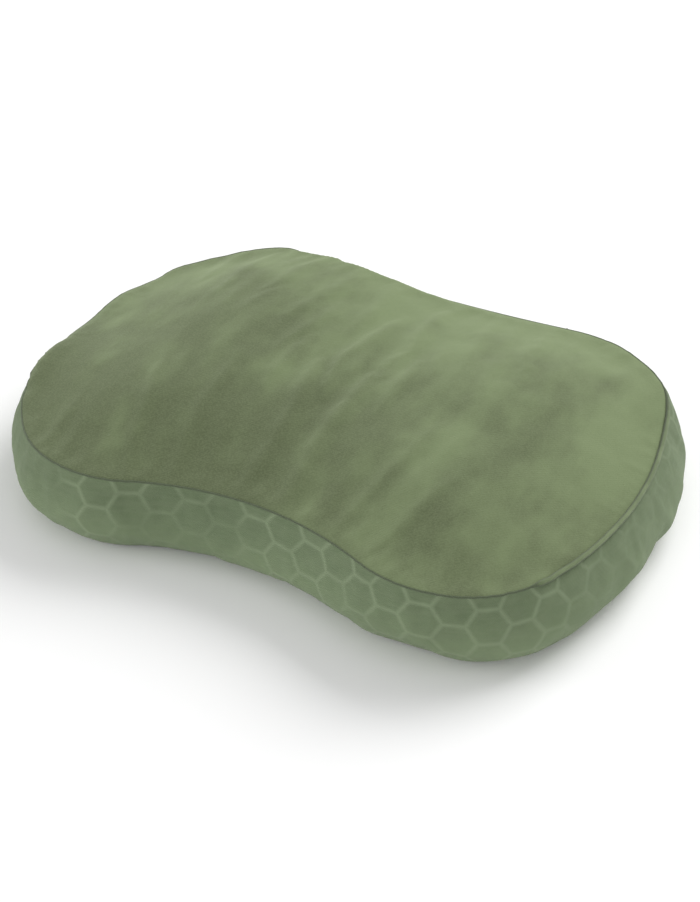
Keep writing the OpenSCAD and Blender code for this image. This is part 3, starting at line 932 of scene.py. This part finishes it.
# The colour of painted shade down in a seam
SEAM_PAINTED_SHADE = (0.080, 0.103, 0.058)
SEAM_DARK = (0.130, 0.170, 0.086)
SEAM_LIGHT = (0.175, 0.222, 0.116)
BASE_DARK = (0.040, 0.052, 0.034)
BASE_LIGHT = (0.062, 0.078, 0.052)
INNER_DARK = (0.36, 0.38, 0.31)
INNER_LIGHT = (0.46, 0.48, 0.40)
TAPE_DARK = (0.050, 0.068, 0.036)
TAPE_LIGHT = (0.075, 0.098, 0.052)
THREAD_LIGHT = (0.20, 0.25, 0.13)
THREAD_PALE = (0.26, 0.31, 0.18)
STOP_GREEN = (0.034, 0.044, 0.027)
ENAMEL = (0.030, 0.040, 0.024)
BARE_ZINC = (0.55, 0.55, 0.53)
FOAM_CREAM = (0.75, 0.68, 0.45)
FOAM_GREY = (0.55, 0.6, 0.6)
FOAM_PINK = (0.8, 0.72, 0.7)
FOAM_PORE_SHADE = (0.4, 0.36, 0.25)
FOAM_GAP_SHADE = (0.2, 0.18, 0.13)
LABEL_FRESH = (0.60, 0.59, 0.54)
LABEL_AGED = (0.52, 0.50, 0.43)
LABEL_GROOVE = (0.36, 0.35, 0.31)
PAPER_DARK = (0.90, 0.90, 0.90)
PAPER_LIGHT = (0.93, 0.93, 0.93)

# The honeycomb: a cell's size across its flats, its stretch along the wall, and a line's width
HEX_SIZE = 21.4 * MM
HEX_STRETCH = 1.08
HEX_LINE = 2.2 * MM
# It is rubbed away round both ends, between these distances from HEX_MIDDLE along the pillow
HEX_FADE = (140 * MM, 165 * MM)
HEX_MIDDLE = 38 * MM
# Where one cell's centre lies, in the wall's fabric coordinates
HEX_U = 775 * MM
HEX_V = -19 * MM
# Heights between which the wall goes from paler to darker: painted light, paler near the foot as painted
# floor bounce and darker up under the top seam
WALL_PAINTED_BOUNCE = (6 * MM, 50 * MM)


class Finish:
    """A material under construction: its shader, and short ways to add the nodes that feed it."""

    def __init__(self, name, roughness, **sockets):
        self.material = bpy.data.materials.new(name)
        self.material.use_nodes = True
        self.tree = self.material.node_tree
        self.shader = self.tree.nodes["Principled BSDF"]
        self.shader.inputs["Roughness"].default_value = roughness
        for socket, value in sockets.items():
            self.shader.inputs[socket.replace("_", " ")].default_value = value
        self.place = self.add("ShaderNodeTexCoord").outputs["Object"]

    def add(self, kind, inputs=(), **settings):
        node = self.tree.nodes.new(kind)
        for key, value in settings.items():
            setattr(node, key, value)
        for key, value in dict(inputs).items():
            if isinstance(value, bpy.types.NodeSocket):
                self.tree.links.new(value, node.inputs[key])
            else:
                node.inputs[key].default_value = value
        return node

    def math(self, operation, *values):
        return self.add("ShaderNodeMath", enumerate(values), operation=operation).outputs[0]

    def vector(self, operation, *values):
        return self.add("ShaderNodeVectorMath", enumerate(values), operation=operation).outputs[0]

    def stretched(self, x, y, z):
        """Object coordinates, stretched: a pattern is finer along a larger number."""
        return self.vector("MULTIPLY", self.place, (x, y, z))

    def axes(self, vector=None):
        """The three parts of a vector, or of the place in the frame, as separate numbers."""
        return self.add("ShaderNodeSeparateXYZ", {0: vector or self.place}).outputs[:]

    def fabric(self):
        """The fabric's own coordinates in metres, as separate numbers."""
        uv = self.add("ShaderNodeUVMap", uv_map="fabric").outputs[0]
        return self.axes(uv)[:2]

    def noise(self, size, detail=2.0, rough=0.5, where=None):
        """Smooth noise from 0 to 1 with features of about that size in metres."""
        node = self.add("ShaderNodeTexNoise", {"Vector": where or self.place, "Scale": 1 / size,
                                               "Detail": detail, "Roughness": rough})
        return node.outputs[0]

    def spots(self, size, reach):
        """1 in the middle of scattered spots, falling to 0 at that share of their spacing."""
        node = self.add("ShaderNodeTexVoronoi", {"Vector": self.place, "Scale": 1 / size})
        return self.span(node.outputs["Distance"], reach, 0)

    def span(self, value, low, high, out_low=0.0, out_high=1.0):
        node = self.add("ShaderNodeMapRange", {"Value": value, "From Min": low, "From Max": high,
                                               "To Min": out_low, "To Max": out_high},
                        interpolation_type="SMOOTHSTEP")
        return node.outputs[0]

    def mix(self, factor, a, b):
        """Mixes two colours, each another node's output or three numbers."""
        a, b = (c if isinstance(c, bpy.types.NodeSocket) else (*c, 1) for c in (a, b))
        return self.add("ShaderNodeMix", {0: factor, 6: a, 7: b}, data_type="RGBA").outputs[2]

    def ripple(self, value, pitch):
        """Goes up and down between 0 and 1 with that pitch."""
        wave = self.math("SINE", self.math("MULTIPLY", value, 2 * math.pi / pitch))
        return self.math("MULTIPLY_ADD", wave, 0.5, 0.5)

    def weave(self, pitch):
        """Height of a plain weave from 0 to 1: each thread goes over one and under the next."""
        u, v = self.fabric()
        warp, weft = self.math("DIVIDE", u, pitch), self.math("DIVIDE", v, pitch)
        heights = []
        for thread, along, start in ((warp, weft, 0), (weft, warp, 1)):
            number = self.math("ADD", self.math("FLOOR", thread), start)
            wave = self.math("COSINE", self.math("MULTIPLY", self.math("ADD", along, number), math.pi))
            crown = self.math("ABSOLUTE", self.math("SINE", self.math("MULTIPLY", thread, math.pi)))
            heights.append(self.math("MULTIPLY", crown, self.math("MULTIPLY_ADD", wave, 0.5, 0.5)))
        return self.math("MAXIMUM", *heights)

    def colour(self, value):
        self.tree.links.new(value, self.shader.inputs["Base Color"])

    def roughness(self, value):
        self.tree.links.new(value, self.shader.inputs["Roughness"])

    def bumps(self, *layers):
        """Adds bump layers, each a height from 0 to 1 and its depth in metres."""
        normal = None
        for height, depth in layers:
            node = self.add("ShaderNodeBump", {"Height": height, "Distance": depth, "Strength": 1.0})
            if normal:
                self.tree.links.new(normal, node.inputs["Normal"])
            normal = node.outputs[0]
        self.tree.links.new(normal, self.shader.inputs["Normal"])


def times(colour, factor):
    return tuple(c * factor for c in colour)


def brushed_top():
    """Brushed microfibre: mottled where its nap lies one way or the other, with painted light that is paler
    towards the back and right and darker towards the front and left, and fine fibre grain.
    """
    m = Finish("brushed_microfibre_painted_light", 0.92, Sheen_Weight=0.25, Sheen_Roughness=0.6,
               Sheen_Tint=(0.75, 0.85, 0.6, 1), Specular_IOR_Level=0.15)
    clouds = m.noise(0.10, 3, 0.6)
    strokes = m.noise(0.024, 3, 0.55, m.stretched(1.0, 0.5, 1.0))
    x, y, _ = m.axes()
    # Painted light: a slope of colour, paler towards the back and right and darker towards the front and
    # left, as if lit from behind
    painted_light_slope = m.math("MULTIPLY_ADD", x, 0.35, m.math("MULTIPLY", y, 0.85))
    mottle = m.math("ADD", m.math("MULTIPLY", clouds, 0.6), m.math("MULTIPLY", strokes, 0.4))
    nap_and_painted_light = m.span(m.math("ADD", mottle, painted_light_slope), 0.36, 0.66)
    green = m.mix(nap_and_painted_light, TOP_DARK, TOP_LIGHT)
    fibres = m.noise(0.0012, 3, 0.7)
    green = m.mix(m.span(fibres, 0.36, 0.66, 0, 0.24), green, TOP_GRAIN)
    threads = m.weave(0.0011)
    green = m.mix(m.math("MULTIPLY", threads, 0.05), green, TOP_GRAIN)
    pills = m.math("MULTIPLY", m.spots(0.006, 0.11), m.span(m.noise(0.05, 1), 0.52, 0.68))
    green = m.mix(m.math("MULTIPLY", pills, 0.4), green, TOP_PILL)
    m.colour(green)
    m.bumps((strokes, 0.0010), (threads, 0.00004), (fibres, 0.00020),
            (m.noise(0.0004, 2, 0.6), 0.00010), (pills, 0.0003))
    return m


def honeycomb_lines(m, u, v):
    """1 in the middle of the honeycomb's lines and 0 inside its cells."""
    across = m.math("DIVIDE", m.math("SUBTRACT", v, HEX_V), HEX_SIZE)
    along = m.math("DIVIDE", m.math("SUBTRACT", u, HEX_U), HEX_SIZE * HEX_STRETCH)
    p = m.add("ShaderNodeCombineXYZ", {0: across, 1: along}).outputs[0]
    cell = (1.0, math.sqrt(3), 1.0)
    half = tuple(c / 2 for c in cell)
    edges = []
    for shift in ((0, 0, 0), half):
        wrapped = m.vector("WRAP", m.vector("ADD", p, shift), half, tuple(-h for h in half))
        x, y, _ = m.axes(m.vector("ABSOLUTE", wrapped))
        slant = m.math("MULTIPLY_ADD", y, math.sqrt(3) / 2, m.math("MULTIPLY", x, 0.5))
        edges.append(m.math("MAXIMUM", x, slant))
    middle = m.math("MINIMUM", *edges)
    return m.span(middle, 0.5 - 1.1 * HEX_LINE / HEX_SIZE, 0.5)


def honeycomb_wall():
    """Woven polyester with a tonal honeycomb: smooth pale lines round rougher, darker cells."""
    m = Finish("honeycomb_polyester_painted_bounce", 0.8, Sheen_Weight=0.06, Sheen_Roughness=0.5,
               Specular_IOR_Level=0.15)
    u, v = m.fabric()
    x, _, height = m.axes()
    along = m.math("ABSOLUTE", m.math("SUBTRACT", x, HEX_MIDDLE))
    worn = m.math("MULTIPLY", m.span(m.noise(0.09, 2), 0.36, 0.56, 0.25, 1.0),
                  m.span(along, *HEX_FADE, 1.0, 0.15))
    lines = m.math("MULTIPLY", honeycomb_lines(m, u, v), worn)
    # Painted light: paler near the foot as painted floor bounce, darker up under the top seam
    foot = m.span(height, *WALL_PAINTED_BOUNCE, 0.7, 0)
    clouds = m.span(m.noise(0.07, 3, 0.55), 0.3, 0.7, 0, 0.2)
    patches = m.span(m.noise(0.009, 3, 0.6), 0.35, 0.65, 0, 0.15)
    tone_and_painted_bounce = m.math("ADD", foot, m.math("ADD", clouds, patches))
    green = m.mix(tone_and_painted_bounce, WALL_DARK, WALL_LIGHT)
    green = m.mix(m.math("MULTIPLY", lines, 0.58), green, WALL_LINE)
    threads = m.weave(0.0007)
    slubs = m.noise(0.004, 2, 0.6, m.stretched(0.2, 0.2, 1.6))
    shade = m.math("ADD", m.math("MULTIPLY", threads, 0.18), m.span(slubs, 0.3, 0.7, 0, 0.22))
    green = m.mix(shade, green, WALL_THREAD)
    m.colour(green)
    m.roughness(m.math("MULTIPLY_ADD", lines, -0.22, 0.86))
    m.bumps((lines, 0.00035), (threads, 0.00014), (slubs, 0.00008))
    return m


def plain_weave(name, pitch, dark, light, gap_shade, roughness):
    """A plain woven fabric, a little uneven in its colour, with painted shade in the gaps between its
    threads.
    """
    m = Finish(name, roughness, Sheen_Weight=0.1, Specular_IOR_Level=0.25)
    threads = m.weave(pitch)
    patchy = m.span(m.noise(0.05, 3), 0.3, 0.7)
    colour = m.mix(patchy, dark, light)
    # Painted shade: darker in the gaps between the threads
    m.colour(m.mix(m.math("MULTIPLY_ADD", threads, -gap_shade, gap_shade), colour, times(dark, 0.4)))
    m.bumps((threads, 0.00016), (m.noise(0.0009, 2, 0.7), 0.00008))
    return m


def twill_binding():
    """The seam's folded edge: slanting twill lines, rubbed paler in places, with painted shade wherever it
    lies down in the seam off a ridge's crown.
    """
    m = Finish("seam_twill_painted_shade", 0.85, Sheen_Weight=0.15, Specular_IOR_Level=0.2)
    u, v = m.fabric()
    twill = m.ripple(m.math("ADD", u, v), 0.0011)
    rubbed = m.span(m.noise(0.02, 3), 0.4, 0.7)
    crown = m.add("ShaderNodeAttribute", attribute_name="crown").outputs["Fac"]
    # Painted shade darkens the bead where it lies in the seam, off a ridge's crown
    green = m.mix(m.span(crown, 0.35, 0.85), SEAM_PAINTED_SHADE, m.mix(rubbed, SEAM_DARK, SEAM_LIGHT))
    m.colour(m.mix(m.math("MULTIPLY", twill, 0.2), green, TOP_GRAIN))
    m.bumps((twill, 0.00012), (m.noise(0.0008, 2), 0.0001))
    return m


def shredded_foam():
    """Offcuts of foam in mixed pale colours, full of open pores, with painted shade in the pores and in the
    gaps between the crumbs.
    """
    m = Finish("shredded_foam", 0.95, Specular_IOR_Level=0.1, Subsurface_Weight=0.08)
    spread = {"Vector": m.place, "Scale": 1 / 0.009}
    cells = m.add("ShaderNodeTexVoronoi", spread)
    edges = m.add("ShaderNodeTexVoronoi", spread, feature="DISTANCE_TO_EDGE")
    tint = m.add("ShaderNodeSeparateColor", {0: cells.outputs["Color"]})
    crumb = m.mix(tint.outputs[0], FOAM_CREAM, FOAM_GREY)
    crumb = m.mix(m.math("MULTIPLY", tint.outputs[1], 0.5), crumb, FOAM_PINK)
    # Painted shade: darker in the gaps between the crumbs and in the pores
    gap = m.span(edges.outputs["Distance"], 0.0, 0.12)
    pores = m.spots(0.0012, 0.5)
    crumb = m.mix(m.math("MULTIPLY", pores, 0.35), crumb, FOAM_PORE_SHADE)
    m.colour(m.mix(gap, FOAM_GAP_SHADE, crumb))
    m.bumps((gap, 0.002), (m.math("SUBTRACT", 1.0, pores), 0.0003))
    return m


def herringbone_tape():
    """Zip tape: fine ribs that slant one way and then the other across its width."""
    m = Finish("herringbone_tape", 0.75, Sheen_Weight=0.1, Specular_IOR_Level=0.3)
    u, v = m.fabric()
    zigzag = m.math("PINGPONG", v, 0.0016)
    rib = m.ripple(m.math("ADD", u, zigzag), 0.0009)
    patchy = m.span(m.noise(0.015, 2), 0.3, 0.7)
    olive = m.mix(patchy, TAPE_DARK, TAPE_LIGHT)
    # Painted shade: darker in the troughs between the ribs
    m.colour(m.mix(m.math("MULTIPLY_ADD", rib, -0.3, 0.3), olive, times(TAPE_DARK, 0.35)))
    m.bumps((rib, 0.00015), (m.noise(0.0005, 2), 0.00005))
    return m


def satin_plastic(name, colour, rough):
    """Smooth plastic, paler and rougher where the slider has scuffed it."""
    m = Finish(name, rough, Specular_IOR_Level=0.4)
    scuffs = m.span(m.noise(0.0014, 3, 0.6, m.stretched(0.15, 1.0, 1.0)), 0.45, 0.7)
    m.colour(m.mix(scuffs, colour, times(colour, 1.35)))
    m.roughness(m.math("MULTIPLY_ADD", scuffs, 0.25, rough))
    m.bumps((scuffs, 0.00003))
    return m


def painted_metal():
    """Cast zinc in a baked enamel, with small chips down to the bare metal and faint orange peel."""
    rough = 0.38
    m = Finish("slider_enamel", rough, Coat_Weight=0.25, Coat_Roughness=0.25)
    worn = m.span(m.noise(0.0016, 4, 0.65), 0.68, 0.72)
    paint = m.mix(m.span(m.noise(0.006, 2), 0.35, 0.65), ENAMEL, times(ENAMEL, 1.3))
    m.colour(m.mix(worn, paint, BARE_ZINC))
    m.tree.links.new(worn, m.shader.inputs["Metallic"])
    m.roughness(m.math("MULTIPLY_ADD", worn, -0.12, rough))
    m.bumps((m.noise(0.0009, 2, 0.5), 0.00004), (m.math("SUBTRACT", 1.0, worn), 0.00003))
    return m


def sewing_thread():
    """Two-ply polyester thread: slanting plies and a slight gloss."""
    m = Finish("sewing_thread", 0.55, Sheen_Weight=0.2, Specular_IOR_Level=0.4)
    x, _, height = m.axes()
    plies = m.ripple(m.math("ADD", x, m.math("MULTIPLY", height, 1.2)), 0.0005)
    faded = m.mix(m.span(m.noise(0.02, 2), 0.35, 0.65), THREAD_LIGHT, THREAD_PALE)
    m.colour(m.mix(m.math("MULTIPLY", plies, 0.5), faded, SEAM_DARK))
    m.bumps((plies, 0.00008))
    return m


def satin_label():
    """A blank satin ribbon: fine warp lines, yellowed in places."""
    m = Finish("label_satin", 0.42, Sheen_Weight=0.2, Specular_IOR_Level=0.5, Anisotropic=0.4)
    ribs = m.ripple(m.fabric()[1], 0.0005)
    satin = m.mix(m.span(m.noise(0.012, 3), 0.35, 0.7), LABEL_FRESH, LABEL_AGED)
    m.colour(m.mix(m.math("MULTIPLY", ribs, 0.15), satin, LABEL_GROOVE))
    m.bumps((ribs, 0.00005), (m.noise(0.003, 2), 0.00008))
    return m


# ---------------------------------------------------------------- pieces

def finish_piece(obj, node, material, body="pillow"):
    """Hangs a piece on the body it rides on, hides the CAD part it stands for, and gives it its material.
    """
    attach(obj, body)
    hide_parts(node)
    obj.data.materials.clear()
    obj.data.materials.append(material.material)


skin = Skin()
skin.inflate()
skin.sculpt()
wall = Wall(skin)
top = disc_panel("top_panel_fabric", skin.points, skin.top, skin.top_faces, 1)
base = disc_panel("base_panel_fabric", skin.points, skin.base, skin.base_faces, -1)
base_cloth = plain_weave("base_plain_weave", 0.0009, BASE_DARK, BASE_LIGHT, 0.12, 0.85)
inner_cloth = plain_weave("inner_plain_weave", 0.0005, INNER_DARK, INNER_LIGHT, 0.15, 0.7)
wall_cloth = honeycomb_wall()
binding = twill_binding()
finish_piece(top, "top_panel", brushed_top())
finish_piece(base, "base_panel", base_cloth)
finish_piece(front_wall(wall), "front_wall", wall_cloth)
upper_strip = back_strip(wall, "back_wall_upper_fabric", True)
finish_piece(upper_strip, "back_wall_upper", wall_cloth)
lower_strip = back_strip(wall, "back_wall_lower_fabric", False)
finish_piece(lower_strip, "back_wall_lower", wall_cloth)
for bead, node in ((top_bead(skin), "top_seam_welt"), (base_bead(skin), "base_seam_welt"),
                   (side_bead(wall, "side_seam_left_bead", -1), "side_seam_left"),
                   (side_bead(wall, "side_seam_right_bead", 1), "side_seam_right")):
    finish_piece(bead, node, binding)
for node, piece in inner_layers(skin).items():
    if node == "foam_fill":
        finish_piece(piece, node, shredded_foam())
    else:
        finish_piece(piece, node, inner_cloth)

tape_cloth = herringbone_tape()
coil_plastic = satin_plastic("coil_monofilament", TAPE_LIGHT, 0.32)
stop_plastic = satin_plastic("stop_plastic", STOP_GREEN, 0.4)
thread = sewing_thread()
enamel = painted_metal()
for side in (1, -1):
    half = half_of(side)
    finish_piece(zip_tape(side), "zip_tape_" + half, tape_cloth)
    finish_piece(zip_coil(side), "zip_coil_" + half, coil_plastic)
    finish_piece(zip_stitching(side), "zip_stitching_" + half, thread)
    ups = sorted((side * STOP_START, side * STOP_REACH))
    finish_piece(zip_stop(f"zip_top_stop_{half}_crimp", TOP_STOP_S, *ups),
                 "zip_top_stop_" + half, stop_plastic)
finish_piece(zip_stop("zip_bottom_stop_crimp", -TOP_STOP_S, -STOP_REACH, STOP_REACH),
             "zip_bottom_stop", stop_plastic)
finish_piece(zip_slider(), "zip_slider", enamel, body="slider")
finish_piece(zip_pull(), "zip_pull", enamel, body="pull")

label = care_label(upper_strip)
finish_piece(label, "care_label", satin_label())


# ---------------------------------------------------------------- camera and light

AZIMUTH = math.radians(29.49)
ELEVATION = math.radians(37.81)
ROLL = math.radians(-1.58)
DISTANCE = 1.1683
LENS = 74.01
SHIFT = (0.0055, -0.0241)
AIM = Vector((0, 0, 0.6 * SEAM_H))
FLOOR_REACH = 6
SKY_STRENGTH = 0.60
# Each light's place, the side of its square, and its power in watts
LIGHTS = {"key": ((0.7, 1.9, 1.7), 1.8, 62),
          "fill": ((0.4, -2.0, 0.8), 1.8, 11),
          "left fill": ((-2.1, -0.9, 0.3), 1.0, 22)}


def add_camera():
    data = bpy.data.cameras.new("camera")
    camera = bpy.data.objects.new("camera", data)
    bpy.context.scene.collection.objects.link(camera)
    back = Vector((math.sin(AZIMUTH) * math.cos(ELEVATION), -math.cos(AZIMUTH) * math.cos(ELEVATION),
                   math.sin(ELEVATION)))
    camera.location = AIM + back * DISTANCE
    camera.rotation_mode = "QUATERNION"
    roll = Matrix.Rotation(ROLL, 4, "Z").to_quaternion()
    camera.rotation_quaternion = back.to_track_quat("Z", "Y") @ roll
    data.sensor_width = 36
    data.lens = LENS
    data.shift_x, data.shift_y = SHIFT
    bpy.context.scene.camera = camera


def add_area_light(name, place, size, power):
    data = bpy.data.lights.new(name, "AREA")
    data.size = size
    data.energy = power
    light = bpy.data.objects.new(name, data)
    light.location = place
    light.rotation_mode = "QUATERNION"
    light.rotation_quaternion = Vector(place).to_track_quat("Z", "Y")
    bpy.context.scene.collection.objects.link(light)


def add_studio():
    corners = [(x * FLOOR_REACH, y * FLOOR_REACH, 0) for x, y in ((-1, -1), (1, -1), (1, 1), (-1, 1))]
    floor = make_object("floor", corners, [(0, 1, 2, 3)], False)
    paper = Finish("floor_paper", 0.9)
    paper.colour(paper.mix(paper.noise(0.4), PAPER_DARK, PAPER_LIGHT))
    floor.data.materials.append(paper.material)
    world = bpy.data.worlds.new("studio")
    world.use_nodes = True
    sky = world.node_tree.nodes["Background"]
    sky.inputs["Color"].default_value = (1, 1, 1, 1)
    sky.inputs["Strength"].default_value = SKY_STRENGTH
    bpy.context.scene.world = world
    bpy.context.scene.view_settings.view_transform = "Standard"
    for name, settings in LIGHTS.items():
        add_area_light(name, *settings)


add_camera()
add_studio()
